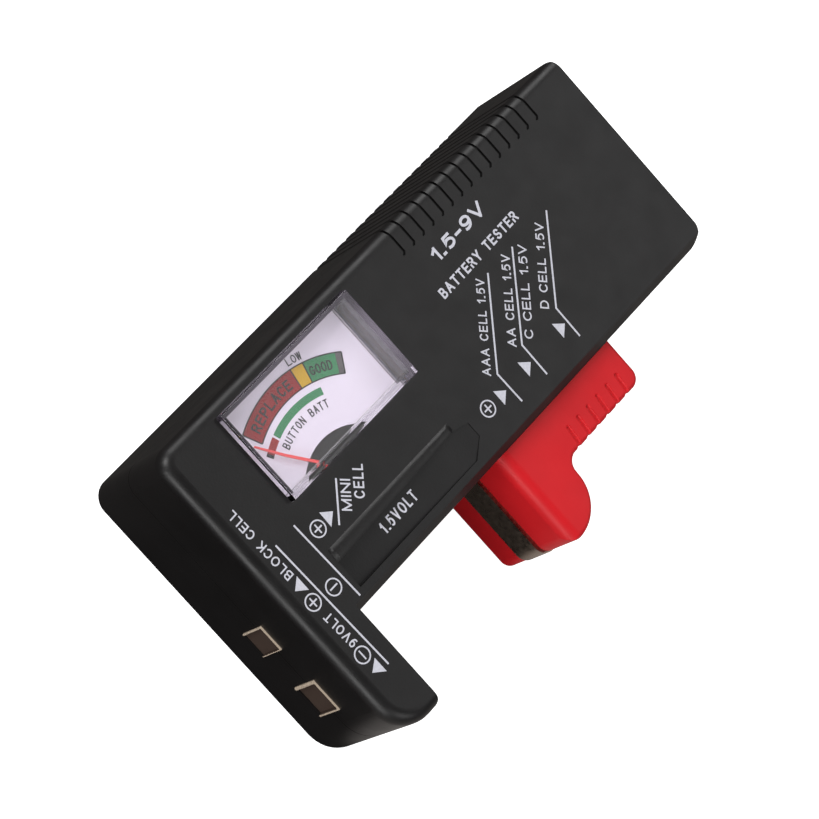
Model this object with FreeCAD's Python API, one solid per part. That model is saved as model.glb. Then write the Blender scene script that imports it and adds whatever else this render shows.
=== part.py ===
import FreeCAD
import Part
import math
import os

from FreeCAD import Vector

# Battery tester lying on its back.  All values are millimetres.
# Case coordinates: X runs from the plain side to the slider side, Y from the
# nine-volt end to the far end, Z from the back face up to the dial face.

# Case
BODY_W = 39.0
BODY_L = 103.0
CASE_T = 25.0
OVERALL_W = 58.0
FOOT_L = 9.1
PARTING_Z = 12.5
WALL = 2.0
FACE_EDGE_R = 2.3
FAR_EDGE_R = 0.4
BACK_EDGE_R = 0.3
SLIDER_BEVEL = 1.3
CORNER_R = {"plain_near": 3.4, "toe": 6.8, "foot": 1.2, "far": 3.8, "plain_far": 1.2}
PARTING_GROOVE = 0.15

# Finger grip on the plain side
GRIP_COUNT = 15
GRIP_PITCH = 2.56
GRIP_Y = 57.15
GRIP_W = 0.45
GRIP_DEPTH = 0.35
GRIP_REACH = 5.5
GRIP_HOOK = 0.65
GRIP_HOOK_W = 0.4
GRIP_NOTCH = 0.5
GRIP_NOTCH_W = 3.3

# Cell rest: a ramped recess in the dial face, as (y, left, right, depth) stations
RECESS = [(11.7, 31.2, 36.4, 1.1), (41.8, 30.3, 36.4, 0.22), (45.1, 31.2, 34.0, 0.1)]
# Bead that stands up beside the recess, as (y, width, height) stations
BEAD_X = 28.75
BEAD = [(11.7, 2.45, 0.06), (12.3, 2.43, 0.55), (41.3, 1.65, 0.5), (42.1, 1.35, 0.06)]
BEAD_ROOT = 1.5

# Meter
COVER_X = (2.4, 19.6)
COVER_Y = (12.8, 43.8)
COVER_TOP = 26.5
COVER_WALL = 0.9
COVER_ROOF = 1.2
TRAY_X1 = 34.45
TRAY_Z = (6.2, 20.5)
TRAY_FLOOR = 7.2
TRAY_LEDGE = 19.9
DIAL_T = 0.4
PIVOT = (27.7, 26.05)
DIAL_CUT_R = 10.7
POINTER_REST = 209.9
POINTER_SWEEP = 68.0
CORE_R = 3.75
YOKE_R = (5.05, 5.85)
YOKE_Z = (9.5, 16.3)
COIL_HALF = 4.65
COIL_Z = (8.9, 16.9)
COIL_T = 0.6
BRIDGE_Z = (17.9, 18.9)
JEWEL_R = 0.9
SHAFT_R = 0.4
PIN_R = 0.25

# Screws that close the case: (x, y, boss radius)
CASE_SCREWS = [(7.5, 7.5, 3.0), (53.2, 4.55, 2.8), (7.5, 96.0, 3.0), (30.5, 96.0, 3.0)]
SCREW_R = 1.1
SCREW_HEAD_R = 2.0
SCREW_SEAT_Z = 6.0

# Slider
SLIDER_X0 = 39.3
SLIDER_Y = (46.3, 76.6)
SLIDER_Z = (0.5, 22.5)
SLIDER_WALL = 1.8
SLIDER_CORNER_R = 2.2
TOE_X = 57.8
TOE_Y = 55.9
TOE_R = 7.4
NECK_X = 47.8
NECK_R = 2.3
SLIDER_FRONT_R = 2.3
SLIDER_TOP_R = 0.9
SLIDER_BASE_R = 0.3
SLIDER_GROOVES = 6
GROOVE_Y = 59.3
GROOVE_PITCH = 2.66
GROOVE_START = (44.2, 0.55)
GROOVE_RUN = Vector(5, -0.6, 0)
GROOVE_R = 0.45
GROOVE_SINK = 0.12
NOTCH_X = 48.1
NOTCH_R = 0.7
ARM_Y = (52.0, 70.0)
ARM_Z = (10.7, 14.3)
TRAVEL = (-34.0, 26.4)
SLOT_GAP = 0.2
CARRIAGE_X = (34.7, 36.85)
CARRIAGE_Y = (50.0, 72.0)
CARRIAGE_Z = (7.5, 17.5)
SCREW_Y = (56.0, 66.0)
SCREW_BORE_R = 0.93
STRIP_Z = (6.4, 12.6)
STRIP_T = 0.5

# Nine-volt contacts: (x0, x1, z0, z1)
NINE_POS = (31.2, 36.1, 7.8, 14.2)
NINE_NEG = (42.8, 49.0, 8.5, 15.1)
CONTACT_PROUD = 0.3

# Board
BOARD = (6.0, 31.0, 52.0, 88.0, 6.0, 7.6)
BOARD_POSTS = [(9, 55), (28, 55), (9, 85), (28, 85)]
RESISTOR_Y = (62.0, 68.0, 74.0)

# Row frame: the origin is under the middle of the bounding box
TO_ROW = Vector(-OVERALL_W / 2, -(BODY_L - CONTACT_PROUD) / 2, 0)


def box(x0, x1, y0, y1, z0, z1):
    return Part.makeBox(x1 - x0, y1 - y0, z1 - z0, Vector(x0, y0, z0))


def cyl(x, y, z0, z1, r):
    return Part.makeCylinder(r, z1 - z0, Vector(x, y, z0))


def cyl_x(y, z, x0, x1, r):
    return Part.makeCylinder(r, x1 - x0, Vector(x0, y, z), Vector(1, 0, 0))


def join(shapes):
    result = shapes[0]
    for shape in shapes[1:]:
        result = result.fuse(shape)
    return result.removeSplitter()


def export(name, shape):
    moved = shape.copy()
    moved.translate(TO_ROW)
    moved.exportStep("parts/" + name + ".step")


def rounded_face(corners, z):
    """Flat face through (x, y, r) corners, each rounded by its own radius."""
    edges = []
    stops = []
    count = len(corners)
    for i in range(count):
        p = Vector(corners[i][0], corners[i][1], z)
        before = Vector(corners[i - 1][0], corners[i - 1][1], z)
        after = Vector(corners[(i + 1) % count][0], corners[(i + 1) % count][1], z)
        u = (before - p).normalize()
        v = (after - p).normalize()
        half = u.getAngle(v) / 2
        radius = corners[i][2]
        reach = radius / math.tan(half)
        start = p + u * reach
        end = p + v * reach
        middle = p + (u + v).normalize() * (radius / math.sin(half) - radius)
        stops.append((start, middle, end, radius))
    for i in range(count):
        start, middle, end, radius = stops[i]
        if radius > 0:
            edges.append(Part.Arc(start, middle, end).toShape())
        onward = stops[(i + 1) % count][0]
        if end.distanceToPoint(onward) > 1e-6:
            edges.append(Part.makeLine(end, onward))
    return Part.Face(Part.Wire(edges))


def rounded_prism(corners, z0, z1):
    return rounded_face(corners, z0).extrude(Vector(0, 0, z1 - z0))


def prism_x(points, x0, x1):
    """Prism along X through (y, z) points."""
    ring = [Vector(x0, y, z) for y, z in points]
    face = Part.Face(Part.makePolygon(ring + [ring[0]]))
    return face.extrude(Vector(x1 - x0, 0, 0))


def flat_edges(shape, levels):
    """Edges that lie wholly at one of the given heights."""
    return [e for e in shape.Edges
            if any(abs(e.BoundBox.ZMin - z) < 1e-4 and abs(e.BoundBox.ZMax - z) < 1e-4 for z in levels)]


def about_pivot(shape, degrees):
    shape.rotate(Vector(PIVOT[0], PIVOT[1], 0), Vector(0, 0, 1), degrees)
    return shape


# ---------------------------------------------------------------- case

def case_outline(inset, sharp=()):
    """Case corners moved in by a constant distance; the named ones are left sharp."""
    i = inset
    r = {name: 0 if name in sharp else max(radius - i, 0) for name, radius in CORNER_R.items()}
    return [(i, i, r["plain_near"]), (OVERALL_W - i, i, r["toe"]), (OVERALL_W - i, FOOT_L - i, r["foot"]),
            (BODY_W - i, FOOT_L - i, 0), (BODY_W - i, BODY_L - i, r["far"]), (i, BODY_L - i, r["plain_far"])]


def lies_at(edge, x=None, y=None):
    """True for a straight edge that keeps to one x or one y."""
    b = edge.BoundBox
    if x is not None:
        return abs(b.XMin - x) < 1e-4 and abs(b.XMax - x) < 1e-4
    return abs(b.YMin - y) < 1e-4 and abs(b.YMax - y) < 1e-4


def slider_bevel():
    """Wedge that takes off the face's edge beside the slider."""
    c = SLIDER_BEVEL
    ring = [Vector(x, FOOT_L, z) for x, z in ((BODY_W - c - 1, CASE_T + 1), (BODY_W + 1, CASE_T - c - 1),
                                              (BODY_W + 1, CASE_T + 1))]
    return Part.Face(Part.makePolygon(ring + [ring[0]])).extrude(Vector(0, BODY_L, 0))


def case_solid():
    """Soft edges round the foot and the plain side, a crisp far edge and a bevel beside the slider."""
    solid = rounded_prism(case_outline(0, ("foot", "far", "plain_far")), 0, CASE_T)
    soft = [e for e in flat_edges(solid, (CASE_T,))
            if not (lies_at(e, y=FOOT_L) or lies_at(e, x=BODY_W) or lies_at(e, y=BODY_L))]
    solid = solid.makeFillet(FACE_EDGE_R, soft)
    solid = solid.makeFillet(FAR_EDGE_R, [e for e in flat_edges(solid, (CASE_T,)) if lies_at(e, y=BODY_L)])
    solid = solid.makeFillet(BACK_EDGE_R, flat_edges(solid, (0,)))
    return solid.common(rounded_prism(case_outline(0), -1, CASE_T + 1)).cut(slider_bevel())


def case_cavity(z0, z1):
    return rounded_prism(case_outline(WALL), z0, z1)


def parting_groove():
    """Fine groove where the two shells meet."""
    g = PARTING_GROOVE
    band = rounded_prism(case_outline(-1), PARTING_Z - g / 2, PARTING_Z + g / 2)
    return band.cut(rounded_prism(case_outline(g), PARTING_Z - 1, PARTING_Z + 1))


def grip_tool():
    """Slabs that wrap the plain side and hook at their inner ends, each with a notch down the side itself."""
    d = GRIP_DEPTH
    w = GRIP_W / 2
    core = box(d, BODY_W, GRIP_Y - GRIP_PITCH, BODY_L, d, CASE_T - d)
    core = core.makeFillet(FACE_EDGE_R, [e for e in core.Edges if e.BoundBox.XMax < d + 1e-4
                                         and e.BoundBox.YLength > 10 and e.BoundBox.ZMin > 10])
    tools = []
    for i in range(GRIP_COUNT):
        y = GRIP_Y + i * GRIP_PITCH
        end = GRIP_REACH
        turn = end - GRIP_HOOK_W
        hook = [(-1, y - w), (turn - w, y - w), (turn, y - 2 * w), (turn, y - GRIP_HOOK),
                (end, y - GRIP_HOOK), (end, y - w), (end - 2 * w, y + w), (-1, y + w)]
        slab = rounded_prism([(px, py, 0) for px, py in hook], -1, CASE_T + 1)
        tools.append(slab.cut(core))
        notch = [(-1, y - GRIP_NOTCH_W / 2, 0), (GRIP_NOTCH, y, 0), (-1, y + GRIP_NOTCH_W / 2, 0)]
        tools.append(rounded_prism(notch, -1, CASE_T + 1))
    return tools


def recess_tool():
    """Shallow ramp, deepest next to the foot, that narrows and fades out at its far end."""
    sections = []
    for y, x0, x1, depth in RECESS:
        ring = [Vector(x, y, CASE_T + z) for x, z in ((x0, -depth), (x1, -depth), (x1, 1), (x0, 1))]
        sections.append(Part.makePolygon(ring + [ring[0]]))
    return [Part.makeLoft([a, b], True, True) for a, b in zip(sections, sections[1:])]


def recess_bead():
    """Rounded bead whose crest lies towards the recess, with a sloping end next to the foot."""
    sections = []
    for y, width, height in BEAD:
        left = Vector(BEAD_X, y, CASE_T)
        crest = Vector(BEAD_X + 0.68 * width, y, CASE_T + height)
        right = Vector(BEAD_X + width, y, CASE_T + 0.7 * height)
        roots = [Vector(BEAD_X + width, y, CASE_T - BEAD_ROOT), Vector(BEAD_X, y, CASE_T - BEAD_ROOT)]
        arc = Part.Arc(left, crest, right).toShape()
        sections.append(Part.Wire([arc, Part.makeLine(right, roots[0]), Part.makeLine(roots[0], roots[1]),
                                   Part.makeLine(roots[1], left)]))
    return Part.makeLoft(sections, True, True)


def recess_backing():
    top = CASE_T - WALL
    low = CASE_T - RECESS[0][3] - 1.5
    end = RECESS[-1][0] + 1.2
    points = [(10.4, top), (10.4, low), (end, top - 0.5), (end, top)]
    return prism_x(points, BEAD_X - 1, BODY_W - WALL)


def slot_tool():
    return box(BODY_W - WALL - 1, BODY_W + 1,
               ARM_Y[0] + TRAVEL[0] - 0.4, ARM_Y[1] + TRAVEL[1] + 0.4,
               ARM_Z[0] - SLOT_GAP, ARM_Z[1] + SLOT_GAP)


def contact_windows():
    gap = 0.05
    return [box(x0 - gap, x1 + gap, -1, WALL + 1, z0 - gap, z1 + gap) for x0, x1, z0, z1 in (NINE_POS, NINE_NEG)]


def front_shell():
    half = case_solid().common(box(-1, OVERALL_W + 1, -1, BODY_L + 1, PARTING_Z, CASE_T + 1))
    half = half.cut(case_cavity(PARTING_Z - 1, CASE_T - WALL))
    bosses = [cyl(x, y, PARTING_Z, CASE_T - WALL + 0.2, r) for x, y, r in CASE_SCREWS]
    half = join([half, recess_backing(), recess_bead()] + bosses)
    tools = recess_tool() + grip_tool() + contact_windows() + [slot_tool(), parting_groove()]
    tools.append(box(COVER_X[0] - 0.1, COVER_X[1] + 0.1, COVER_Y[0] - 0.1, COVER_Y[1] + 0.1, 22, 26))
    tools += [cyl(x, y, PARTING_Z - 1, 20, SCREW_R + 0.03) for x, y, r in CASE_SCREWS]
    for tool in tools:
        half = half.cut(tool)
    return half


def rear_shell():
    half = case_solid().common(box(-1, OVERALL_W + 1, -1, BODY_L + 1, -1, PARTING_Z))
    half = half.cut(case_cavity(WALL, PARTING_Z + 1))
    adds = [cyl(x, y, WALL - 0.2, PARTING_Z, r) for x, y, r in CASE_SCREWS]
    adds += [cyl(x, y, WALL - 0.2, BOARD[4], 1.7) for x, y in BOARD_POSTS]
    adds += [box(5, 26, y, y + 1.2, WALL - 0.2, TRAY_Z[0]) for y in (17.0, 38.0)]
    adds.append(box(34.6, 36.9, 15, 99, WALL - 0.2, 4.0))
    half = join([half] + adds)
    tools = grip_tool() + contact_windows() + [slot_tool(), parting_groove()]
    for x, y, r in CASE_SCREWS:
        tools.append(cyl(x, y, -1, SCREW_SEAT_Z, SCREW_HEAD_R + 0.15))
        tools.append(cyl(x, y, 0, PARTING_Z + 1, SCREW_R + 0.03))
    tools += [cyl(x, y, 2.6, BOARD[5], 0.92) for x, y in BOARD_POSTS]
    tools += [box(x - 0.1, x + 0.6, FOOT_L - WALL - 1, FOOT_L + 1, 6.3, PARTING_Z + 1) for x in (40.7, 55.8)]
    for tool in tools:
        half = half.cut(tool)
    return half


def cross_screw(x, y, seat, tip, head_h, head_r, shank_r):
    """Screw entering upwards from below its seat, with a cross recess."""
    head = cyl(x, y, seat - head_h, seat, head_r)
    screw = head.fuse(cyl(x, y, seat, tip, shank_r))
    reach = head_r * 0.62
    low = seat - head_h
    for sx, sy in ((reach, 0.25), (0.25, reach)):
        screw = screw.cut(box(x - sx, x + sx, y - sy, y + sy, low - 0.1, low + head_h * 0.55))
    return screw.removeSplitter()


def case_screws():
    return Part.makeCompound([cross_screw(x, y, SCREW_SEAT_Z, 18.5, 1.4, SCREW_HEAD_R, SCREW_R)
                              for x, y, r in CASE_SCREWS])


# ---------------------------------------------------------------- meter

def meter_cover():
    (x0, x1), (y0, y1) = COVER_X, COVER_Y
    w = COVER_WALL
    solid = box(x0, x1, y0, y1, TRAY_Z[1], COVER_TOP)
    top = [e for e in solid.Edges if e.BoundBox.ZMin > TRAY_Z[1] + 0.1]
    solid = solid.makeFillet(0.3, top)
    solid = solid.cut(box(x0 + w, x1 - w, y0 + w, y1 - w, TRAY_Z[1] - 1, COVER_TOP - COVER_ROOF))
    return solid.cut(box(x1 - w - 0.1, x1 + 1, y0 + w, y1 - w, TRAY_Z[1] - 1, 22.0))


def meter_tray():
    x0, y0, y1 = COVER_X[0], COVER_Y[0], COVER_Y[1]
    x1 = TRAY_X1 - 0.7
    solid = box(x0, TRAY_X1, y0, y1, TRAY_Z[0], TRAY_Z[1])
    solid = solid.cut(box(x0 + 1, x1, y0 + 1, y1 - 1, TRAY_LEDGE, TRAY_Z[1] + 1))
    solid = solid.cut(box(x0 + 1.8, x1, y0 + 1.8, y1 - 1.8, TRAY_FLOOR, TRAY_Z[1]))
    solid = solid.cut(cyl(PIVOT[0], PIVOT[1], TRAY_Z[0] - 1, TRAY_FLOOR + 1, JEWEL_R + 0.2))
    for x in (24.0, 30.0):
        solid = solid.cut(box(x - 1.05, x + 1.05, y0 - 1, y0 + 3, 11.7, 12.3))
    return solid


def dial_plate():
    plate = rounded_prism([(3.6, 14.0, 0.5), (25.5, 14.0, 0.5), (25.5, 42.6, 0.5), (3.6, 42.6, 0.5)],
                          TRAY_LEDGE, TRAY_LEDGE + DIAL_T)
    return plate.cut(cyl(PIVOT[0], PIVOT[1], 19, 22, DIAL_CUT_R))


def magnet_core():
    px, py = PIVOT
    return cyl(px, py, YOKE_Z[0] + 0.3, YOKE_Z[1] - 0.3, CORE_R)


def yoke_ring():
    px, py = PIVOT
    return cyl(px, py, YOKE_Z[0], YOKE_Z[1], YOKE_R[1]).cut(cyl(px, py, 0, 20, YOKE_R[0]))


def lower_frame():
    """Plate under the movement with posts that carry the core and the yoke."""
    px, py = PIVOT
    plate = box(22.2, 33.3, 18.5, 33.6, TRAY_FLOOR, TRAY_FLOOR + 1)
    posts = [cyl(px + dx, py, TRAY_FLOOR, YOKE_Z[0] + 0.3, 0.6) for dx in (-2.4, 2.4)]
    posts += [cyl(px, py + dy, TRAY_FLOOR, YOKE_Z[0], 0.5) for dy in (-5.45, 5.45)]
    return join([plate] + posts).cut(cyl(px, py, 6, 9, JEWEL_R))


def upper_bridge():
    px, py = PIVOT
    bar = box(px - 1.6, px + 1.6, py - 6.1, py + 6.1, BRIDGE_Z[0], BRIDGE_Z[1])
    feet = [cyl(px, py + dy, YOKE_Z[1], BRIDGE_Z[0] + 0.1, 0.45) for dy in (-5.45, 5.45)]
    return join([bar] + feet).cut(cyl(px, py, 17, 20, JEWEL_R))


def jewel_screws():
    px, py = PIVOT
    low = cyl(px, py, 6.4, 8.2, JEWEL_R).cut(cyl(px, py, 7.5, 9, PIN_R + 0.05))
    low = low.cut(box(px - 1, px + 1, py - 0.15, py + 0.15, 6, 6.8))
    high = cyl(px, py, BRIDGE_Z[0], 19.4, JEWEL_R).cut(cyl(px, py, 17, 18.6, PIN_R + 0.05))
    high = high.cut(box(px - 1, px + 1, py - 0.15, py + 0.15, 19.0, 20))
    return Part.makeCompound([low, high])


def meter_terminals():
    """Two flat pins through the tray wall, each with a solder hole."""
    pins = []
    for x in (24.0, 30.0):
        pin = box(x - 1, x + 1, 8.6, 17.0, 11.75, 12.25)
        pins.append(pin.cut(cyl(x, 9.8, 11, 13, 0.5)))
    return Part.makeCompound(pins)


# ---------------------------------------------------------------- pointer

def moving_coil():
    px, py = PIVOT
    h = COIL_HALF
    outer = box(px - h, px + h, py - 0.5, py + 0.5, COIL_Z[0], COIL_Z[1])
    inner = box(px - h + COIL_T, px + h - COIL_T, py - 1, py + 1, COIL_Z[0] + COIL_T, COIL_Z[1] - COIL_T)
    return about_pivot(outer.cut(inner), 90 + POINTER_SWEEP / 2)


def pivot_shafts():
    px, py = PIVOT
    low = cyl(px, py, 8.3, COIL_Z[0], SHAFT_R).fuse(cyl(px, py, 7.6, 8.3, PIN_R))
    high = cyl(px, py, COIL_Z[1], 17.8, SHAFT_R).fuse(cyl(px, py, 17.8, 18.5, PIN_R))
    return Part.makeCompound([low, high])


def pointer():
    """Blade that rises from the hub through the dial opening, then runs flat."""
    px, py = PIVOT
    stations = [(0.5, -0.1, 17.25, 0.9), (6.4, -1.2, 17.25, 0.7), (9.4, -1.25, 21.35, 0.5),
                (15.0, -0.45, 21.35, 0.42), (20.35, 0.0, 21.35, 0.3)]
    sections = []
    for x, y, z, width in stations:
        w, t = width / 2, 0.15
        ring = [Vector(px + x, py + y + a, z + b) for a, b in ((-w, -t), (w, -t), (w, t), (-w, t))]
        sections.append(Part.makePolygon(ring + [ring[0]]))
    blade = Part.makeLoft(sections, True, True)
    tail = box(px - 5, px - 0.5, py - 0.35, py + 0.35, 17.1, 17.4)
    whole = join([cyl(px, py, 17.1, 17.4, 1.0), blade, tail])
    return about_pivot(whole.cut(cyl(px, py, 16, 19, SHAFT_R)), POINTER_REST)


def counterweight():
    px, py = PIVOT
    return about_pivot(cyl(px - 4.3, py, 17.4, 18.6, 0.65), POINTER_REST)


def spiral(z, r0, r1, turns, height):
    """Flat spiral ribbon about the pivot."""
    px, py = PIVOT
    ribbon = 0.12
    sides = []
    steps = int(turns * 16)
    for offset in (-ribbon / 2, ribbon / 2):
        points = []
        for i in range(steps + 1):
            a = 2 * math.pi * turns * i / steps
            r = r0 + (r1 - r0) * i / steps + offset
            points.append(Vector(px + r * math.cos(a), py + r * math.sin(a), z))
        curve = Part.BSplineCurve()
        curve.interpolate(points)
        sides.append((curve.toShape(), points))
    caps = [Part.makeLine(sides[0][1][k], sides[1][1][k]) for k in (0, -1)]
    wire = Part.Wire(Part.__sortEdges__([sides[0][0], sides[1][0]] + caps))
    return Part.Face(wire).extrude(Vector(0, 0, height))


def hairsprings():
    return Part.makeCompound([spiral(17.5, 0.62, 2.6, 3, 0.22), spiral(8.4, 0.62, 1.6, 2, 0.22)])


# ---------------------------------------------------------------- contacts and wiring

def round_nosed(x0, x1, z0, z1):
    """Flange that stands out of the end wall with a rounded front."""
    p = CONTACT_PROUD
    flange = box(x0, x1, -p, 1.6, z0, z1)
    nose = [e for e in flange.Edges if e.BoundBox.YMax < -p + 1e-4 and e.BoundBox.ZLength > 1]
    return flange.makeFillet((x1 - x0) * 0.4, nose)


def nine_volt_contact(window, tag_x, left, right, depth):
    """Recessed plate between two rounded flanges and a thin lip, with a solder tag behind."""
    x0, x1, z0, z1 = window
    p = CONTACT_PROUD
    zc = (z0 + z1) / 2
    return join([box(x0 + 0.01, x1 - 0.01, -p + depth, 1.6, z0, z1), round_nosed(x0, x0 + left, z0, z1),
                 round_nosed(x1 - right, x1, z0, z1), box(x0 + 0.05, x1 - 0.05, -p + 0.05, 1.6, z1 - 0.2, z1),
                 box(tag_x - 1, tag_x + 1, 1.5, 5.0, zc - 0.25, zc + 0.25)])


def foot_contact():
    """Bowed leaf on the foot, held by a leg at each end."""
    a, b, mid = 40.7, 56.3, 48.5
    outer = Part.Arc(Vector(a, 9.7, 6.4), Vector(mid, 10.6, 6.4), Vector(b, 9.7, 6.4))
    inner = Part.Arc(Vector(b, 9.2, 6.4), Vector(mid, 10.1, 6.4), Vector(a, 9.2, 6.4))
    edges = [outer.toShape(), Part.makeLine(Vector(b, 9.7, 6.4), Vector(b, 9.2, 6.4)),
             inner.toShape(), Part.makeLine(Vector(a, 9.2, 6.4), Vector(a, 9.7, 6.4))]
    leaf = Part.Face(Part.Wire(edges)).extrude(Vector(0, 0, 6.0))
    legs = [box(x, x + 0.5, 6.4, 9.6, 6.4, 12.4) for x in (a, b - 0.5)]
    return join([leaf] + legs)


def pickup_rail():
    return box(34.75, 36.75, 15.5, 98.5, 4.0, 4.5)


def circuit_board():
    x0, x1, y0, y1, z0, z1 = BOARD
    board = rounded_prism([(x0, y0, 1), (x1, y0, 1), (x1, y1, 1), (x0, y1, 1)], z0, z1)
    for x, y in BOARD_POSTS:
        board = board.cut(cyl(x, y, z0 - 1, z1 + 1, 1.0))
    for y in RESISTOR_Y:
        for x in (11.5, 25.5):
            board = board.cut(cyl(x, y, z0 - 1, z1 + 1, 0.4))
    return board


def board_screws():
    screws = []
    for x, y in BOARD_POSTS:
        screw = cyl(x, y, 3.0, BOARD[5], 0.9).fuse(cyl(x, y, BOARD[5], 8.7, 1.6))
        screws.append(screw.cut(box(x - 1.1, x + 1.1, y - 0.2, y + 0.2, 8.3, 9)))
    return Part.makeCompound(screws)


def resistor_bodies():
    bodies = []
    for y in RESISTOR_Y:
        body = cyl_x(y, 9.6, 14.0, 23.0, 1.7)
        bodies.append(body.makeFillet(0.5, [e for e in body.Edges if e.BoundBox.XLength < 0.01]))
    return Part.makeCompound(bodies)


def resistor_leads():
    leads = []
    for y in RESISTOR_Y:
        for x, inner in ((11.5, 14.0), (25.5, 23.0)):
            flat = cyl_x(y, 9.6, min(x, inner), max(x, inner), 0.3)
            leads.append(flat.fuse(cyl(x, y, 5.6, 9.6, 0.3)).fuse(Part.makeSphere(0.3, Vector(x, y, 9.6))))
    return Part.makeCompound(leads)


def lead(points):
    """Round insulated wire: straight runs joined by round elbows."""
    r = 0.6
    stops = [Vector(*p) for p in points]
    runs = [Part.makeCylinder(r, (b - a).Length, a, b - a) for a, b in zip(stops, stops[1:])]
    elbows = [Part.makeSphere(r, p) for p in stops[1:-1]]
    return runs[0].multiFuse(runs[1:] + elbows)


def positive_leads():
    nine = lead([(33.6, 5.9, 11), (31.4, 9, 4.4), (31.4, 46, 4.1), (30.4, 50.4, 10.0), (27.2, 57.5, 9.6),
                 (26.4, 59.5, 8.3)])
    meter = lead([(24, 7.9, 12), (24, 7.6, 9), (27.2, 12, 4.1), (27.2, 46, 4.1), (24.6, 50.4, 9.2), (22.0, 57, 8.9)])
    return Part.makeCompound([nine, meter])


def negative_leads():
    nine = lead([(45.9, 6.0, 11.4), (44.0, 4.9, 6.5), (36.4, 4.9, 4.0), (33.4, 9, 3.6), (33.4, 60, 4.0),
                 (32.4, 72, 9.2), (26.5, 79.5, 8.9)])
    meter = lead([(30, 7.9, 12), (30, 7.6, 9), (29.3, 12, 4.1), (29.3, 46, 4.1), (27.6, 50.4, 9.2), (24.9, 57, 8.9)])
    return Part.makeCompound([nine, meter])


# ---------------------------------------------------------------- slider

def slider_outline(inset):
    """Slider corners moved in by a constant distance on every closed side."""
    x0 = SLIDER_X0
    i = inset
    y0, y1 = SLIDER_Y
    corner = max(SLIDER_CORNER_R - i, 0.4)
    return [(x0, y0 + i, 0), (TOE_X - i, y0 + i, corner), (TOE_X - i, TOE_Y - i, TOE_R - i),
            (NECK_X - i, TOE_Y - i, NECK_R + i), (NECK_X - i, y1 - i, corner), (x0, y1 - i, 0)]


def strip_band(z0, z1, reach, proud):
    """Band that follows the contact face and wraps the toe."""
    outer = rounded_prism(slider_outline(-proud), z0, z1)
    band = outer.cut(rounded_prism(slider_outline(STRIP_T), z0 - 1, z1 + 1))
    return band.common(box(SLIDER_X0, 60, 45, reach, z0 - 1, z1 + 1))


def slider_block():
    """Outside of the slider, with a fuller round along the top of its contact face."""
    z0, z1 = SLIDER_Z
    solid = rounded_prism(slider_outline(0), z0, z1)
    for z, r in ((z1, SLIDER_TOP_R), (z0, SLIDER_BASE_R)):
        solid = solid.makeFillet(r, [e for e in flat_edges(solid, (z,)) if not lies_at(e, x=SLIDER_X0)])
    front = SLIDER_Y[0]
    hood = box(SLIDER_X0 - 1, OVERALL_W, front, BODY_L, z0 - 1, z1)
    hood = hood.makeFillet(SLIDER_FRONT_R, [e for e in flat_edges(hood, (z1,)) if lies_at(e, y=front)])
    return solid.common(hood)


def slider_grooves():
    """Thumb grooves: a notch down the side and a shallow slanting flute on the top and the bottom."""
    z0, z1 = SLIDER_Z
    tools = []
    for i in range(SLIDER_GROOVES):
        y = GROOVE_Y + i * GROOVE_PITCH
        tools.append(cyl(NOTCH_X, y, z0 - 1, z1 + 1, NOTCH_R))
        for z in (z0 - GROOVE_SINK, z1 + GROOVE_SINK):
            start = Vector(GROOVE_START[0], y + GROOVE_START[1], z)
            tools.append(Part.makeCylinder(GROOVE_R, GROOVE_RUN.Length, start, GROOVE_RUN))
            tools.append(Part.makeSphere(GROOVE_R, start))
    return tools


def slider_body():
    z0, z1 = SLIDER_Z
    hollow = rounded_prism([(x - (0.5 if x < 40 else 0), y, r) for x, y, r in slider_outline(SLIDER_WALL)],
                           z0 + SLIDER_WALL, z1 - SLIDER_WALL)
    web = box(SLIDER_X0, 47.0, 47.5, 75.6, ARM_Z[0], ARM_Z[1])
    arm = box(CARRIAGE_X[1], SLIDER_X0 + 0.1, ARM_Y[0], ARM_Y[1], ARM_Z[0], ARM_Z[1])
    solid = join([slider_block().cut(hollow), web, arm])
    tools = slider_grooves()
    tools.append(strip_band(STRIP_Z[0] - 0.1, STRIP_Z[1] + 0.9, 49.9, 0.4))
    tools.append(box(SLIDER_X0 - 1, SLIDER_X0 + 0.7, 46, 49, STRIP_Z[0] - 0.1, STRIP_Z[1] + 0.1))
    tools += [cyl_x(y, PARTING_Z, CARRIAGE_X[0], 43.5, SCREW_BORE_R) for y in SCREW_Y]
    for tool in tools:
        solid = solid.cut(tool)
    return solid


def positive_contact():
    """Contact strip with a leg that turns in beside the case wall."""
    strip = strip_band(STRIP_Z[0], STRIP_Z[1], 49.8, 0.2)
    leg = box(SLIDER_X0 + 0.1, SLIDER_X0 + 0.6, SLIDER_Y[0] + 0.2, 60.0, STRIP_Z[0], 9.9)
    return join([strip.cut(box(39, SLIDER_X0 + 0.1, 45, 50, 0, 25)), leg])


def slider_carriage():
    (x0, x1), (y0, y1), (z0, z1) = CARRIAGE_X, CARRIAGE_Y, CARRIAGE_Z
    plate = box(x0, x1, y0, y1, z0, z1)
    plate = plate.makeFillet(0.8, [e for e in plate.Edges if e.BoundBox.XLength > 1])
    for y in SCREW_Y:
        plate = plate.cut(cyl_x(y, PARTING_Z, x0 - 1, x1 + 1, SCREW_BORE_R))
        plate = plate.cut(cyl_x(y, PARTING_Z, x0 - 1, x0 + 0.9, 1.65))
    return plate


def carriage_screws():
    screws = []
    for y in SCREW_Y:
        screw = cyl_x(y, PARTING_Z, 34.8, 35.6, 1.6).fuse(cyl_x(y, PARTING_Z, 35.6, 42.5, 0.9))
        screws.append(screw.cut(box(34, 35.15, y - 1.1, y + 1.1, PARTING_Z - 0.2, PARTING_Z + 0.2)))
    return Part.makeCompound(screws)


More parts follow.
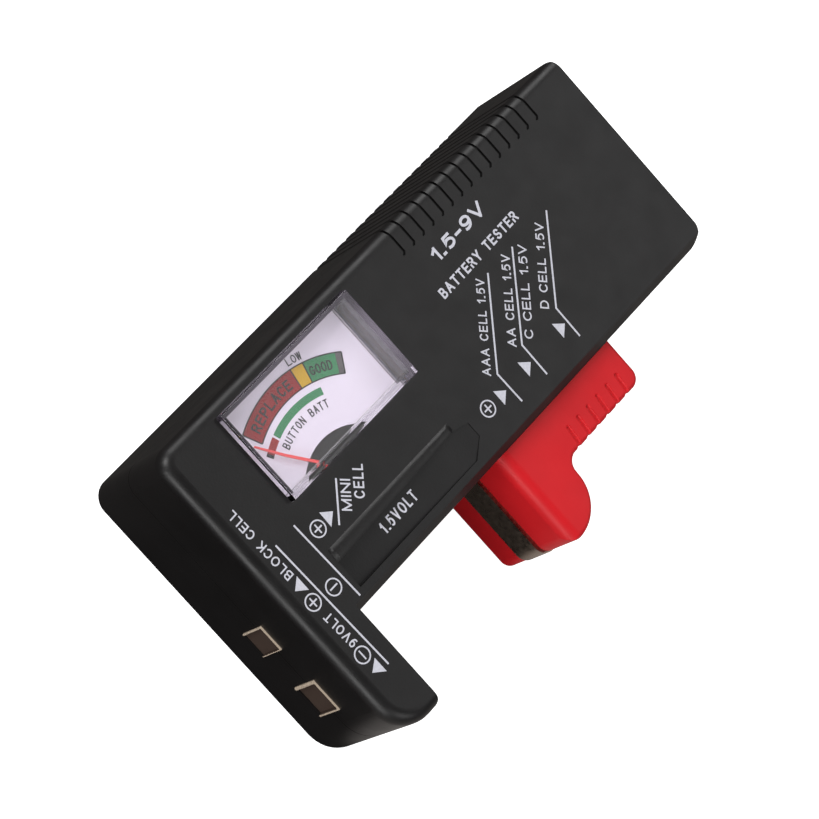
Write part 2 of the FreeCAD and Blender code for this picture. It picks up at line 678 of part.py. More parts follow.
def wiper_spring():
    """Leaf under the carriage that runs along the pickup rail."""
    top = CARRIAGE_Z[0]
    points = [(68, top), (58.5, top), (53.6, 4.95), (52.2, 5.9), (51.9, 5.6), (53.5, 4.6),
              (58.8, top - 0.35), (68, top - 0.35)]
    return prism_x(points, 35.0, 36.5)


PARTS = {
    "front_shell": front_shell,
    "rear_shell": rear_shell,
    "case_screws": case_screws,
    "meter_cover": meter_cover,
    "meter_tray": meter_tray,
    "dial_plate": dial_plate,
    "magnet_core": magnet_core,
    "yoke_ring": yoke_ring,
    "lower_frame": lower_frame,
    "upper_bridge": upper_bridge,
    "jewel_screws": jewel_screws,
    "meter_terminals": meter_terminals,
    "moving_coil": moving_coil,
    "pivot_shafts": pivot_shafts,
    "pointer": pointer,
    "counterweight": counterweight,
    "hairsprings": hairsprings,
    "nine_volt_positive": lambda: nine_volt_contact(NINE_POS, 33.6, 0.4, 0.25, 0.4),
    "nine_volt_negative": lambda: nine_volt_contact(NINE_NEG, 45.9, 0.65, 0.4, 0.6),
    "foot_contact": foot_contact,
    "pickup_rail": pickup_rail,
    "circuit_board": circuit_board,
    "board_screws": board_screws,
    "resistor_bodies": resistor_bodies,
    "resistor_leads": resistor_leads,
    "positive_leads": positive_leads,
    "negative_leads": negative_leads,
    "slider_body": slider_body,
    "positive_contact": positive_contact,
    "slider_carriage": slider_carriage,
    "carriage_screws": carriage_screws,
    "wiper_spring": wiper_spring,
}

os.makedirs("parts", exist_ok=True)
for node, make in PARTS.items():
    export(node, make())
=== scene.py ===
import math

import bmesh
import bpy
from mathutils import Matrix, Vector


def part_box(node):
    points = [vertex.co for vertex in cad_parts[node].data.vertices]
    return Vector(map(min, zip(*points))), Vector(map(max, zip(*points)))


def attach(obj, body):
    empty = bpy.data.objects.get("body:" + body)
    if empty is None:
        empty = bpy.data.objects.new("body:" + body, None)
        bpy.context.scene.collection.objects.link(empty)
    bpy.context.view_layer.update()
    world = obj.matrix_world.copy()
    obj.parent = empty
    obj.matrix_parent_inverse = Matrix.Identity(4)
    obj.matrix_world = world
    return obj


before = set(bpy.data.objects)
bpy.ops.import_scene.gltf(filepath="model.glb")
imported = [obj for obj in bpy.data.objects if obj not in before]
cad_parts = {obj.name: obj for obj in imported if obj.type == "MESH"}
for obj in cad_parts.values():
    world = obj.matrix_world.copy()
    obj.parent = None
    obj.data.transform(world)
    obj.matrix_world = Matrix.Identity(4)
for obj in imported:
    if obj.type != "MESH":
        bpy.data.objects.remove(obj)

# Sizes are written in millimetres and in case coordinates, as in the CAD: X runs from the plain side
# to the slider side, Y from the nine-volt end to the far end, Z from the back to the dial face.
MM = 0.001
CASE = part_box("rear_shell")[0]
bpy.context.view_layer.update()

# The surfaces that carry print, and the pointer's pivot
FACE_Z = 25.0
DIAL_Z = 20.3
PIVOT = (27.7, 26.05)
RECESS_Y = (11.7, 41.8)
RECESS_FLOOR = (23.9, 24.78)

# Thickness of the print, and how far each pen line of a letter lies above the one before
INK = 0.03
PEN_STEP = 0.004

# Guide lines, and the circled signs: radius and line of the circle, length, width and lift of the bars
LINE = 0.3
SIGN_R = 1.33
SIGN_LINE = 0.24
SIGN_BAR = 1.7
SIGN_BAR_W = 0.26
CROSS_LIFT = 0.01

# The meter's scales: inner and outer radius of the two bands, and the main band's steps in degrees
MAIN_BAND = (18.8, 22.27)
BUTTON_BAND = (16.38, 17.63)
BAND_START = 206.0
BAND_LOW = 169.7
BAND_GOOD = 163.2
BAND_GREY = 147.7
BAND_END = 144.6
RIM_HALF = 0.1
STEP_HALF = 0.3

# Nine-volt contacts: widths of the flanges at low and at high X, and of the upper lip, where a highlight
# is painted
FLANGES = {"nine_volt_positive": (0.3, 0.2), "nine_volt_negative": (0.6, 0.35)}
LIP = 0.22

# Floor: reach in metres, drop below the case's back in millimetres, and glow as seen.  In reflections
# the floor is a painted reflection: a glow whose shade changes along x over the next reach, in metres
# either side, as (place along that run, shade). It has painted shade under the object and to its left
# and painted light to its right, all in the tint.
FLOOR_REACH = 3.0
FLOOR_DROP = 0.05
FLOOR_GLOW = 0.95
REFLECTED_REACH = 0.1
REFLECTED_SHADES = [(0.0, 0.08), (0.36, 0.07), (0.42, 0.03), (0.645, 0.03), (0.67, 0.42)]
REFLECTED_TINT = (1.0, 0.93, 0.88)

# Strength of the sky as a light, and as seen
SKY_LIGHT = 0.12
SKY_SEEN = 1.0

# Lights: place and size in metres, power in watts
LIGHTS = {
    "back": ((0.20, 0.85, 1.00), (1.5, 0.85), 4.2),
    "left": ((-0.95, 0.60, 0.50), (0.8, 0.55), 5.0),
    "front": ((0.15, -1.08, 0.50), (1.0, 0.50), 6.5),
    "high_right": ((0.95, -0.35, 0.80), (0.6, 0.6), 2.5),
    "high_left": ((-0.90, -0.45, 0.80), (0.6, 0.6), 8.0),
}

# Camera: sensor and lens in millimetres, eye in case coordinates, its right and its back directions
SENSOR = 36.0
LENS = 155.7
EYE = (-58.96, -229.74, 499.22)
EYE_RIGHT = (0.6584, 0.6005, 0.4538)
EYE_BACK = (-0.1487, -0.4873, 0.8605)


def at(x, y, z):
    """Case coordinates in millimetres to a point in the frame."""
    return CASE + Vector((x, y, z)) * MM


# ---------------------------------------------------------------- materials

NOISE_RANGE = (0.3, 0.7)


def material(name, colour, roughness, **sockets):
    """Principled material whose constants sit on the shader's own sockets."""
    mat = bpy.data.materials.new(name)
    mat.use_nodes = True
    shader = mat.node_tree.nodes["Principled BSDF"]
    shader.inputs["Base Color"].default_value = (*colour, 1)
    shader.inputs["Roughness"].default_value = roughness
    for socket, value in sockets.items():
        shader.inputs[socket.replace("_", " ")].default_value = value
    return mat


def add_node(mat, kind, **inputs):
    node = mat.node_tree.nodes.new(kind)
    for socket, value in inputs.items():
        node.inputs[socket].default_value = value
    return node


def link(mat, source, target):
    mat.node_tree.links.new(source, target)


def shader_input(mat, name):
    return mat.node_tree.nodes["Principled BSDF"].inputs[name]


def surface(mat):
    return mat.node_tree.nodes["Principled BSDF"].outputs["BSDF"]


def place_along(mat, axis):
    """One object coordinate in metres."""
    place = add_node(mat, "ShaderNodeTexCoord")
    split = add_node(mat, "ShaderNodeSeparateXYZ")
    link(mat, place.outputs["Object"], split.inputs["Vector"])
    return split.outputs[axis]


def switch(mat, choice, without, with_it):
    """Shader that is the second one where the choice is 1."""
    node = add_node(mat, "ShaderNodeMixShader")
    link(mat, choice, node.inputs["Fac"])
    link(mat, without, node.inputs[1])
    link(mat, with_it, node.inputs[2])
    return node.outputs["Shader"]


def output(mat, shader):
    link(mat, shader, mat.node_tree.nodes["Material Output"].inputs["Surface"])


def noise(mat, grain, detail=2.0, stretch=(1, 1, 1)):
    """Noise whose features are about grain millimetres across."""
    place = add_node(mat, "ShaderNodeTexCoord")
    scaled = add_node(mat, "ShaderNodeMapping", Scale=stretch)
    texture = add_node(mat, "ShaderNodeTexNoise", Scale=1 / (grain * MM), Detail=detail)
    link(mat, place.outputs["Object"], scaled.inputs["Vector"])
    link(mat, scaled.outputs["Vector"], texture.inputs["Vector"])
    return texture.outputs["Fac"]


def remap(mat, source, old, new):
    """A source that runs between the old pair of values, mapped to the new pair."""
    node = add_node(mat, "ShaderNodeMapRange")
    for socket, value in zip(("From Min", "From Max", "To Min", "To Max"), old + new):
        node.inputs[socket].default_value = value
    link(mat, source, node.inputs["Value"])
    return node.outputs["Result"]


def spread(mat, source, low, high):
    """The middle of a noise's range mapped to low..high."""
    return remap(mat, source, NOISE_RANGE, (low, high))


def ramp(mat, source, stops):
    """Colour that runs through (place, colour) stops along the source."""
    node = add_node(mat, "ShaderNodeValToRGB")
    elements = node.color_ramp.elements
    for i, (place, colour) in enumerate(stops):
        stop = elements[i] if i < 2 else elements.new(place)
        stop.position = place
        stop.color = (*colour, 1)
    link(mat, source, node.inputs["Fac"])
    return node.outputs["Color"]


def tint(mat, source, colours):
    """Base colour that runs through the colours over the middle of a noise's range."""
    low, high = NOISE_RANGE
    places = [low + (high - low) * i / (len(colours) - 1) for i in range(len(colours))]
    link(mat, ramp(mat, source, list(zip(places, colours))), shader_input(mat, "Base Color"))


def uneven(mat, grain, low, high):
    """Roughness that drifts between low and high."""
    link(mat, spread(mat, noise(mat, grain, 4.0), low, high), shader_input(mat, "Roughness"))


def bumps(mat, layers):
    """Bump from (height source, height in millimetres) layers, one on top of another."""
    last = None
    for source, height in layers:
        node = add_node(mat, "ShaderNodeBump", Strength=1.0, Distance=height * MM)
        link(mat, source, node.inputs["Height"])
        if last is not None:
            link(mat, last, node.inputs["Normal"])
        last = node.outputs["Normal"]
    link(mat, last, shader_input(mat, "Normal"))


def moulded(name, colour, roughness, contrast=0.12, **sockets):
    """Moulded plastic: fine spark texture, faint mottling and handling shine."""
    mat = material(name, colour, roughness, **sockets)
    dark = [c * (1 - contrast) for c in colour]
    light = [c * (1 + contrast) for c in colour]
    tint(mat, noise(mat, 9.0, 5.0), [dark, colour, light])
    uneven(mat, 5.0, roughness - 0.05, roughness + 0.06)
    bumps(mat, [(noise(mat, 0.35, 3.0), 0.012), (noise(mat, 14.0, 1.0), 0.03)])
    return mat


def metal(name, colour, roughness, stretch=(1, 1, 1), contrast=0.2, relief=0.004):
    """Drawn or plated metal with rolling marks along its unstretched axis."""
    mat = material(name, colour, roughness, Metallic=1.0)
    dark = [c * (1 - contrast) for c in colour]
    tint(mat, noise(mat, 1.6, 5.0, stretch), [dark, colour])
    uneven(mat, 0.8, roughness - 0.08, roughness + 0.12)
    bumps(mat, [(noise(mat, 0.25, 4.0, stretch), relief)])
    return mat


def ink(name, colour):
    """Screen-printed ink, slightly uneven in cover."""
    mat = material(name, colour, 0.55, Specular_IOR_Level=0.12)
    thin = [c * 0.86 for c in colour]
    tint(mat, noise(mat, 0.5, 4.0), [thin, colour])
    bumps(mat, [(noise(mat, 0.12, 2.0), 0.004)])
    return mat


def highlight_rim_mask(mat, node, left, right):
    """Mask for the painted highlight: 1 on the flanges at each end of a contact and on its upper lip, 0
    on the plate between them.
    """
    low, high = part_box(node)
    bright = None
    for axis, start, width in (("X", low.x, left), ("X", high.x, -right), ("Z", high.z, -LIP)):
        old = (start + width * 0.8 * MM, start + width * 1.1 * MM)
        edge = remap(mat, place_along(mat, axis), old, (1.0, 0.0))
        if bright is None:
            bright = edge
            continue
        most = add_node(mat, "ShaderNodeMath")
        most.operation = "MAXIMUM"
        link(mat, bright, most.inputs[0])
        link(mat, edge, most.inputs[1])
        bright = most.outputs["Value"]
    return bright


def painted_highlight_contact(node):
    """Dull nickel with a painted highlight: its raised flanges and upper lip are coloured bright cream,
    and the plate between them dark brown, as painted reflections.
    """
    mat = material(node + "_nickel", (0.2, 0.15, 0.12), 0.3, Metallic=0.4)
    bright = remap(mat, highlight_rim_mask(mat, node, *FLANGES[node]), (0.0, 1.0), NOISE_RANGE)
    # Painted light: bright cream on the flanges and lip is a painted highlight, and the dark brown plate
    # is a painted dark reflection.
    tint(mat, bright, [(0.11, 0.075, 0.06), (0.98, 0.80, 0.62)])
    uneven(mat, 2.0, 0.27, 0.36)
    bumps(mat, [(noise(mat, 0.5, 2.0), 0.0003)])
    return mat


def clear_plastic(name):
    """Polished clear plastic that lets lamp light through to what is under it."""
    mat = material(name, (0.97, 0.96, 0.985), 0.0, Transmission_Weight=1.0, IOR=1.49,
                   Specular_IOR_Level=0.05)
    uneven(mat, 2.5, 0.0, 0.012)
    through = add_node(mat, "ShaderNodeBsdfTransparent", Color=(0.93, 0.92, 0.95, 1))
    ray = add_node(mat, "ShaderNodeLightPath")
    output(mat, switch(mat, ray.outputs["Is Shadow Ray"], surface(mat), through.outputs["BSDF"]))
    return mat


FINISHES = {
    "case_black": moulded("case_black", (0.0075, 0.0068, 0.0070), 0.38, Specular_IOR_Level=0.42),
    "slider_red": moulded("slider_red", (0.68, 0.012, 0.018), 0.42, 0.06, Specular_IOR_Level=0.25),
    "clear_cover": clear_plastic("clear_cover"),
    "tray_grey": moulded("tray_grey", (0.42, 0.38, 0.42), 0.5),
    "dial_white": moulded("dial_white", (0.74, 0.68, 0.76), 0.5, 0.03),
    "magnet_metal": metal("magnet_metal", (0.55, 0.54, 0.53), 0.45),
    "yoke_iron": metal("yoke_iron", (0.50, 0.49, 0.48), 0.45),
    "frame_aluminium": metal("frame_aluminium", (0.72, 0.72, 0.73), 0.35, (4, 1, 1)),
    "brass": metal("brass", (0.72, 0.52, 0.24), 0.3),
    "coil_copper": metal("coil_copper", (0.72, 0.34, 0.18), 0.35, (1, 1, 12)),
    "screw_steel": metal("screw_steel", (0.55, 0.55, 0.56), 0.3),
    "pointer_red": moulded("pointer_red", (0.75, 0.05, 0.05), 0.4, 0.04),
    "contact_nickel": metal("contact_nickel", (0.42, 0.34, 0.28), 0.3, contrast=0.1, relief=0.0002),
    "board_brown": moulded("board_brown", (0.22, 0.12, 0.05), 0.5),
    "resistor_tan": moulded("resistor_tan", (0.55, 0.42, 0.26), 0.45),
    "tinned_wire": metal("tinned_wire", (0.62, 0.61, 0.60), 0.35),
    "wire_red": moulded("wire_red", (0.50, 0.02, 0.02), 0.4),
    "wire_black": moulded("wire_black", (0.012, 0.012, 0.012), 0.4),
    "carriage_white": moulded("carriage_white", (0.70, 0.69, 0.66), 0.45),
}
PRINT = ink("print_white", (0.72, 0.72, 0.80))
DIAL_RED = ink("dial_red", (0.29, 0.004, 0.006))
DIAL_YELLOW = ink("dial_yellow", (0.62, 0.37, 0.008))
DIAL_GREEN = ink("dial_green", (0.035, 0.22, 0.085))
DIAL_GREY = ink("dial_grey", (0.10, 0.09, 0.09))
DIAL_LINE = ink("dial_line", (0.02, 0.018, 0.02))


def finish_cad_nodes():
    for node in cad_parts.values():
        for place in node.material_slots:
            place.material = FINISHES[place.material.name.split(".")[0]]
    # The nine-volt contacts get a painted highlight on their flanges and lip.
    for name in FLANGES:
        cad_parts[name].material_slots[0].material = painted_highlight_contact(name)


# ---------------------------------------------------------------- flat prints

def place_mesh(name, bm, mat, body):
    data = bpy.data.meshes.new(name)
    bm.to_mesh(data)
    bm.free()
    data.materials.append(mat)
    piece = bpy.data.objects.new(name, data)
    bpy.context.scene.collection.objects.link(piece)
    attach(piece, body)
    return piece


def raise_faces(bm, height):
    """Gives flat faces a thickness."""
    got = bmesh.ops.extrude_face_region(bm, geom=bm.faces[:])
    moved = [v for v in got["geom"] if isinstance(v, bmesh.types.BMVert)]
    bmesh.ops.translate(bm, vec=(0, 0, height * MM), verts=moved)
    bmesh.ops.recalc_face_normals(bm, faces=bm.faces)


def face_level(y):
    return FACE_Z


def dial_level(y):
    return DIAL_Z


def recess_level(y):
    """Height of the recess's ramped floor."""
    (y0, y1), (z0, z1) = RECESS_Y, RECESS_FLOOR
    return z0 + (z1 - z0) * (y - y0) / (y1 - y0)


def print_shapes(name, shapes, level, mat, lift=0.0):
    """Printed mark from flat polygons on a surface whose height is level(y).

    A polygon's points are (x, y), or (x, y, step) where it lies a step above the rest.
    """
    bm = bmesh.new()
    for points in shapes:
        bm.faces.new([bm.verts.new(at(x, y, level(y) + lift + sum(step))) for x, y, *step in points])
    bmesh.ops.remove_doubles(bm, verts=bm.verts, dist=0.001 * MM)
    raise_faces(bm, INK)
    return place_mesh(name, bm, mat, "housing")


def stroke(points, width):
    """Quads of a line of constant width, mitred at its bends and closed if its ends meet."""
    stops = [Vector(p) for p in points]
    closed = (stops[0] - stops[-1]).length < 1e-6
    runs = [(b - a).normalized() for a, b in zip(stops, stops[1:])]
    before = [runs[-1] if closed else runs[0]] + runs
    after = runs + [runs[0] if closed else runs[-1]]
    left = []
    right = []
    for stop, u, v in zip(stops, before, after):
        along = (u + v).normalized()
        side = Vector((-along.y, along.x)) * width / 2 / along.dot(u)
        left.append(stop + side)
        right.append(stop - side)
    return [[left[i], left[i + 1], right[i + 1], right[i]] for i in range(len(runs))]


def ring(x, y, radius, width):
    """Quads of a circle drawn with a line."""
    count = 40
    turns = [2 * math.pi * i / count for i in range(count + 1)]
    rims = [[Vector((x + r * math.cos(a), y + r * math.sin(a))) for a in turns]
            for r in (radius - width / 2, radius + width / 2)]
    inner, outer = rims
    return [[inner[i], inner[i + 1], outer[i + 1], outer[i]] for i in range(count)]


def bar(x, y, length, width, angle):
    """One straight bar centred on a point."""
    half = Vector((math.cos(angle), math.sin(angle))) * length / 2
    middle = Vector((x, y))
    return stroke([middle - half, middle + half], width)


def arc_band(r0, r1, start, end):
    """Quads between two radii about the pointer's pivot, from start to end degrees."""
    count = max(2, int(abs(end - start)))
    px, py = PIVOT
    turns = [math.radians(start + (end - start) * i / count) for i in range(count + 1)]
    rims = [[Vector((px + r * math.cos(a), py + r * math.sin(a))) for a in turns] for r in (r0, r1)]
    inner, outer = rims
    return [[inner[i], inner[i + 1], outer[i + 1], outer[i]] for i in range(count)]


# ---------------------------------------------------------------- lettering

def bow(cx, cy, rx, ry, start, end):
    """Points on an ellipse from start to end degrees."""
    count = max(3, int(abs(end - start) / 18))
    turns = [math.radians(start + (end - start) * i / count) for i in range(count + 1)]
    return [(cx + rx * math.cos(a), cy + ry * math.sin(a)) for a in turns]


# Plain capitals: width, then pen lines, in units of the capital height.
GLYPHS = {
    " ": (0.3, []),
    ".": (0.1, [[(0, 0), (0.1, 0)]]),
    "-": (0.36, [[(0, 0.42), (0.36, 0.42)]]),
    "1": (0.26, [[(0, 0.74), (0.24, 0.96)], [(0.26, 1), (0.26, 0)]]),
    "5": (0.6, [[(0.54, 1), (0.1, 1), (0.04, 0.54)] + bow(0.27, 0.34, 0.33, 0.34, 112, -118)]),
    "9": (0.6, [bow(0.3, 0.68, 0.3, 0.32, 0, 360), bow(0.2, 0.62, 0.4, 0.62, 0, -108)]),
    "A": (0.84, [[(0, 0), (0.42, 1)], [(0.42, 1), (0.84, 0)], [(0.16, 0.34), (0.68, 0.34)]]),
    "B": (0.68, [[(0, 0.52), (0, 1), (0.36, 1)] + bow(0.38, 0.76, 0.24, 0.24, 90, -90) + [(0, 0.52)],
                 [(0, 0.52), (0.38, 0.52)] + bow(0.4, 0.26, 0.28, 0.26, 90, -90) + [(0, 0), (0, 0.52)]]),
    "C": (0.74, [bow(0.4, 0.5, 0.4, 0.5, 42, 318)]),
    "D": (0.72, [[(0, 0.5), (0, 1), (0.3, 1)] + bow(0.32, 0.5, 0.4, 0.5, 90, -90) + [(0, 0), (0, 0.5)]]),
    "E": (0.62, [[(0.6, 1), (0, 1), (0, 0), (0.62, 0)], [(0, 0.52), (0.55, 0.52)]]),
    "G": (0.78, [bow(0.4, 0.5, 0.4, 0.5, 42, 345), [(0.78, 0.3), (0.78, 0.46), (0.44, 0.46)]]),
    "I": (0.0, [[(0, 0), (0, 1)]]),
    "K": (0.68, [[(0, 0), (0, 1)], [(0, 0.32), (0.62, 1)], [(0.24, 0.58), (0.68, 0)]]),
    "L": (0.54, [[(0, 1), (0, 0), (0.54, 0)]]),
    "M": (0.84, [[(0, 0), (0, 1)], [(0, 1), (0.42, 0)], [(0.42, 0), (0.84, 1)], [(0.84, 1), (0.84, 0)]]),
    "N": (0.72, [[(0, 0), (0, 1)], [(0, 1), (0.72, 0)], [(0.72, 0), (0.72, 1)]]),
    "O": (0.86, [bow(0.43, 0.5, 0.43, 0.5, 0, 360)]),
    "P": (0.64, [[(0, 0), (0, 1), (0.36, 1)] + bow(0.38, 0.74, 0.26, 0.26, 90, -90) + [(0, 0.48)]]),
    "R": (0.7, [[(0, 0), (0, 1), (0.38, 1)] + bow(0.4, 0.75, 0.26, 0.25, 90, -90) + [(0, 0.5)],
                [(0.38, 0.48), (0.7, 0)]]),
    "S": (0.66, [bow(0.33, 0.745, 0.3, 0.255, 25, 270) + bow(0.33, 0.25, 0.33, 0.25, 88, -158)]),
    "T": (0.7, [[(0, 1), (0.7, 1)], [(0.35, 1), (0.35, 0)]]),
    "U": (0.7, [[(0, 1), (0, 0.34)] + bow(0.35, 0.34, 0.35, 0.34, 190, 350) + [(0.7, 0.34), (0.7, 1)]]),
    "V": (0.76, [[(0, 1), (0.38, 0)], [(0.38, 0), (0.76, 1)]]),
    "W": (1.04, [[(0, 1), (0.26, 0)], [(0.26, 0), (0.52, 1)], [(0.52, 1), (0.78, 0)],
                 [(0.78, 0), (1.04, 1)]]),
    "Y": (0.76, [[(0, 1), (0.38, 0.44)], [(0.76, 1), (0.38, 0.44)], [(0.38, 0.5), (0.38, 0)]]),
}


def pen_stroke(points, width):
    """Pen line with square ends."""
    stops = [Vector(p) for p in points]
    if (stops[0] - stops[-1]).length > 1e-6:
        stops[0] = stops[0] + (stops[0] - stops[1]).normalized() * width / 2
        stops[-1] = stops[-1] + (stops[-1] - stops[-2]).normalized() * width / 2
    return stroke(stops, width)


def word_shapes(words, length, cap, weight, foot, along):
    """Quads of words that fill a length along a baseline.

    The weight is the pen's width over the capital height.  Each of a letter's pen lines lies a
    little above the one before, so that they can cross.
    """
    up = Vector((-along.y, along.x))
    pen = weight * cap
    body = cap - pen
    gap = 0.2 * cap
    natural = sum(GLYPHS[letter][0] for letter in words) * body
    stretch = (length - pen * len(words) - gap * (len(words) - 1)) / natural if natural else 1
    shapes = []
    x = pen / 2
    for letter in words:
        width, lines = GLYPHS[letter]
        for i, points in enumerate(lines):
            placed = [foot + along * (x + px * body * stretch) + up * (pen / 2 + py * body)
                      for px, py in points]
            shapes += [[(p.x, p.y, i * PEN_STEP) for p in quad] for quad in pen_stroke(placed, pen)]
        x += width * body * stretch + pen + gap
    return shapes


def straight_words(name, words, start, end, cap, level, weight=0.15):
    foot = Vector(start)
    run = Vector(end) - foot
    shapes = word_shapes(words, run.length, cap, weight, foot, run.normalized())
    print_shapes(name, shapes, level, PRINT)


def arc_words(name, words, radius, start, end, width, cap, weight):
    """Letters set round the pivot from start to end degrees, with their feet towards it."""
    shapes = []
    for i, letter in enumerate(words):
        turn = math.radians(start + (end - start) * i / (len(words) - 1))
        up = Vector((math.cos(turn), math.sin(turn)))
        along = Vector((up.y, -up.x))
        wide = weight * cap if letter == "I" else width
        foot = Vector(PIVOT) + up * radius - along * wide / 2
        shapes += word_shapes(letter, wide, cap, weight, foot, along)
    print_shapes(name, shapes, dial_level, DIAL_LINE, lift=INK)


# ---------------------------------------------------------------- marks on the face

def cell_guides():
    """Bent lines that lead each cell size to its place on the slider side."""
    guides = {
        "guide_aaa": [(17.0, 66.1), (29.3, 55.0), (35.2, 55.1)],
        "guide_aa_c": [(16.9, 72.8), (29.0, 62.0), (35.2, 61.9)],
        "guide_d": [(16.8, 82.3), (28.95, 71.4), (34.9, 71.3)],
        "guide_mini": [(22.0, 21.1), (27.4, 16.1)],
        "line_minus": [(22.3, 10.3), (37.2, 10.7)],
        "line_nine_volt": [(22.4, 5.75), (47.65, 6.45)],
    }
    for name, points in guides.items():
        print_shapes(name, stroke(points, LINE), face_level, PRINT)


def arrowheads():
    heads = {
        "arrow_aaa": [(30.7, 52.3), (32.1, 54.2), (33.6, 52.3)],
        "arrow_aa_c": [(30.4, 59.2), (31.9, 61.1), (33.4, 59.2)],
        "arrow_d": [(30.2, 68.8), (31.7, 70.7), (33.2, 68.8)],
        "arrow_mini": [(23.8, 15.0), (25.2, 16.9), (26.7, 14.9)],
        "arrow_nine_plus": [(28.0, 4.9), (30.8, 4.9), (29.4, 3.0)],
        "arrow_nine_minus": [(45.4, 5.4), (48.2, 5.4), (46.7, 3.4)],
    }
    for name, points in heads.items():
        print_shapes(name, [points], face_level, PRINT)


def polarity_marks():
    """Circled plus and minus signs: centre, whether the bar runs along Y, and whether it is crossed."""
    marks = {
        "plus_cells": (32.0, 49.5, False, True),
        "plus_mini": (25.4, 13.0, False, True),
        "minus_cells": (33.3, 8.3, True, False),
        "plus_nine": (32.6, 4.0, False, True),
        "minus_nine": (43.7, 4.2, False, False),
    }
    for name, (x, y, along_y, crossed) in marks.items():
        angle = math.pi / 2 if along_y else 0.0
        shapes = ring(x, y, SIGN_R, SIGN_LINE) + bar(x, y, SIGN_BAR, SIGN_BAR_W, angle)
        print_shapes(name, shapes, face_level, PRINT)
        if crossed:
            cross = bar(x, y, SIGN_BAR, SIGN_BAR_W, angle + math.pi / 2)
            print_shapes(name + "_cross", cross, face_level, PRINT, lift=CROSS_LIFT)


def face_lettering():
    words = {
        "word_range": ("1.5-9V", (10.2, 60.5), (9.9, 73.6), 2.4, 0.2),
        "word_title": ("BATTERY TESTER", (15.0, 56.9), (14.5, 77.4), 1.8, 0.18),
        "word_aaa": ("AAA CELL 1.5V", (28.8, 53.9), (17.25, 64.8), 1.55, 0.15),
        "word_aa": ("AA CELL 1.5V", (28.6, 61.0), (17.5, 71.4), 1.6, 0.15),
        "word_c": ("C CELL 1.5V", (29.7, 64.35), (18.35, 75.0), 1.6, 0.15),
        "word_d": ("D CELL 1.5V", (28.2, 70.3), (17.9, 80.2), 1.6, 0.15),
        "word_mini": ("MINI", (27.35, 19.4), (23.7, 22.8), 1.75, 0.15),
        "word_cell": ("CELL", (27.5, 22.5), (23.5, 26.2), 1.85, 0.15),
        "word_nine_volt": ("9VOLT", (41.8, 5.2), (35.3, 4.95), 1.6, 0.15),
        "word_block": ("BLOCK CELL", (27.5, 4.8), (13.9, 4.5), 1.6, 0.15),
    }
    for name, (text, start, end, cap, weight) in words.items():
        straight_words(name, text, start, end, cap, face_level, weight)
    straight_words("word_volts", "1.5VOLT", (33.9, 21.5), (33.7, 29.9), 1.95, recess_level)


# ---------------------------------------------------------------- dial

def dial_artwork():
    print_shapes("band_replace", arc_band(*MAIN_BAND, BAND_START, BAND_LOW), dial_level, DIAL_RED)
    print_shapes("band_low", arc_band(*MAIN_BAND, BAND_LOW, BAND_GOOD), dial_level, DIAL_YELLOW)
    print_shapes("band_good", arc_band(*MAIN_BAND, BAND_GOOD, BAND_GREY), dial_level, DIAL_GREEN)
    print_shapes("band_end", arc_band(*MAIN_BAND, BAND_GREY, BAND_END), dial_level, DIAL_GREY)
    print_shapes("button_dark", arc_band(*BUTTON_BAND, 211.3, 209.5), dial_level, DIAL_LINE)
    print_shapes("button_low", arc_band(*BUTTON_BAND, 209.5, 200.3), dial_level, DIAL_RED)
    print_shapes("button_good", arc_band(*BUTTON_BAND, 199.1, 160.2), dial_level, DIAL_GREEN)
    rims = []
    for radius in MAIN_BAND:
        rims += arc_band(radius - RIM_HALF, radius + RIM_HALF, BAND_START, BAND_END)
    print_shapes("band_rims", rims, dial_level, DIAL_LINE, lift=INK)
    steps = []
    for angle in (BAND_START, BAND_LOW, BAND_GOOD, BAND_END):
        steps += arc_band(*MAIN_BAND, angle - STEP_HALF, angle + STEP_HALF)
    print_shapes("band_steps", steps, dial_level, DIAL_LINE, lift=INK + PEN_STEP)
    arc_words("word_replace", "REPLACE", 19.6, 200.5, 175.0, 1.2, 1.8, 0.17)
    arc_words("word_good", "GOOD", 19.7, 160.6, 151.5, 0.95, 1.6, 0.16)
    arc_words("word_low", "LOW", 22.8, 168.4, 163.4, 0.9, 1.3, 0.13)
    arc_words("word_button", "BUTTON BATT", 14.3, 201.0, 161.5, 0.75, 1.35, 0.13)


# ---------------------------------------------------------------- floor, lights, camera

def painted_floor_reflection(mat):
    """Painted reflection: what reflections see of the floor is a glow that is dark under the object and
    to its left and bright to its right, standing in for shadow and lit paper.
    """
    across = remap(mat, place_along(mat, "X"), (-REFLECTED_REACH, REFLECTED_REACH), (0.0, 1.0))
    shades = [(place, [shade * part for part in REFLECTED_TINT]) for place, shade in REFLECTED_SHADES]
    glow = add_node(mat, "ShaderNodeEmission", Strength=1.0)
    link(mat, ramp(mat, across, shades), glow.inputs["Color"])
    return glow.outputs["Emission"]


def floor_material():
    """Pale paper, evenly lit as seen, and open from below."""
    mat = material("floor_paper", (0.90, 0.90, 0.90), 0.9, Specular_IOR_Level=0.0)
    shader_input(mat, "Emission Color").default_value = (1, 1, 1, 1)
    shader_input(mat, "Emission Strength").default_value = FLOOR_GLOW
    ray = add_node(mat, "ShaderNodeLightPath")
    # Camera rays see the evenly glowing paper; all other rays see the painted reflection.
    paper = switch(mat, ray.outputs["Is Camera Ray"], painted_floor_reflection(mat), surface(mat))
    side = add_node(mat, "ShaderNodeNewGeometry")
    clear = add_node(mat, "ShaderNodeBsdfTransparent")
    output(mat, switch(mat, side.outputs["Backfacing"], paper, clear.outputs["BSDF"]))
    return mat


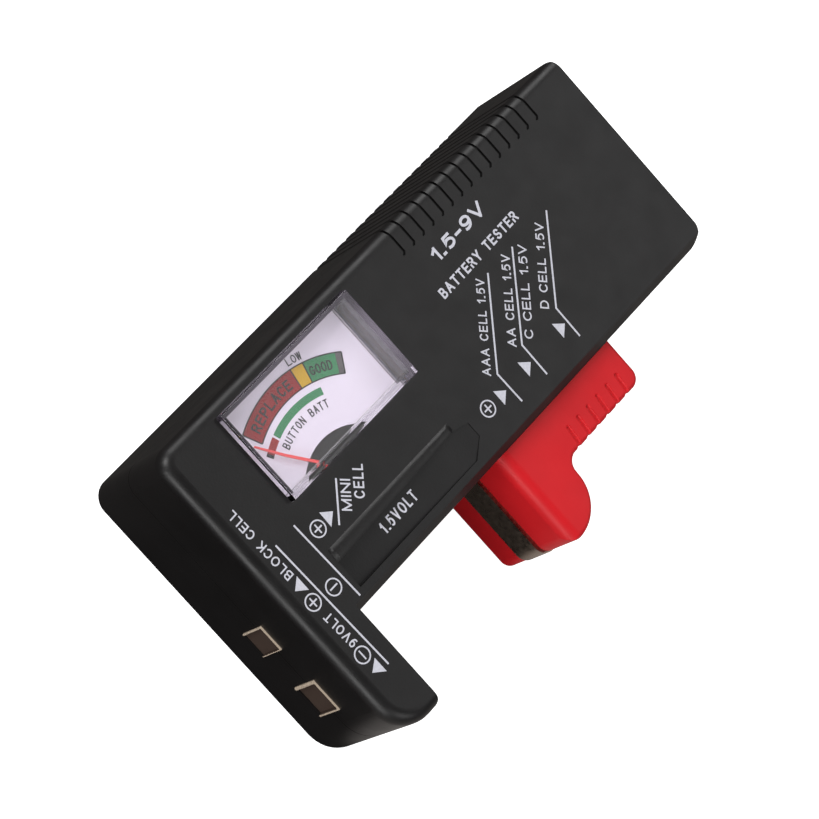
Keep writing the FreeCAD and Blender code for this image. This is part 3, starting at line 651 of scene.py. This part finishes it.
def floor():
    """Floor just under the case's back, so that the two faces do not coincide."""
    bm = bmesh.new()
    r = FLOOR_REACH
    corners = [(-r, -r), (r, -r), (r, r), (-r, r)]
    bm.faces.new([bm.verts.new((x, y, -FLOOR_DROP * MM)) for x, y in corners])
    data = bpy.data.meshes.new("floor")
    bm.to_mesh(data)
    bm.free()
    data.materials.append(floor_material())
    ground = bpy.data.objects.new("floor", data)
    bpy.context.scene.collection.objects.link(ground)


def soft_light(name, place, size, power):
    """Rectangular lamp that faces the object."""
    lamp = bpy.data.lights.new(name, "AREA")
    lamp.shape = "RECTANGLE"
    lamp.size, lamp.size_y = size
    lamp.energy = power
    holder = bpy.data.objects.new(name, lamp)
    holder.location = place
    holder.rotation_euler = (-Vector(place)).to_track_quat("-Z", "Y").to_euler()
    bpy.context.scene.collection.objects.link(holder)


def sky():
    """Dim light from all round, behind a white background."""
    world = bpy.data.worlds.new("studio")
    world.use_nodes = True
    background = world.node_tree.nodes["Background"]
    background.inputs["Color"].default_value = (1, 1, 1, 1)
    ray = world.node_tree.nodes.new("ShaderNodeLightPath")
    strength = world.node_tree.nodes.new("ShaderNodeMapRange")
    strength.inputs["To Min"].default_value = SKY_LIGHT
    strength.inputs["To Max"].default_value = SKY_SEEN
    world.node_tree.links.new(ray.outputs["Is Camera Ray"], strength.inputs["Value"])
    world.node_tree.links.new(strength.outputs["Result"], background.inputs["Strength"])
    bpy.context.scene.world = world


def studio():
    sky()
    for name, (place, size, power) in LIGHTS.items():
        soft_light(name, place, size, power)
    bpy.context.scene.view_settings.view_transform = "Standard"


def camera():
    """Long lens above the nine-volt end, rolled so that the case runs up to the right."""
    lens = bpy.data.cameras.new("camera")
    lens.sensor_width = SENSOR
    lens.lens = LENS
    lens.clip_start = 0.01
    right = Vector(EYE_RIGHT).normalized()
    back = Vector(EYE_BACK).normalized()
    turn = Matrix((right, back.cross(right), back)).transposed().to_4x4()
    eye = bpy.data.objects.new("camera", lens)
    eye.matrix_world = Matrix.Translation(at(*EYE)) @ turn
    bpy.context.scene.collection.objects.link(eye)
    bpy.context.scene.camera = eye


finish_cad_nodes()
cell_guides()
arrowheads()
polarity_marks()
face_lettering()
dial_artwork()
floor()
studio()
camera()
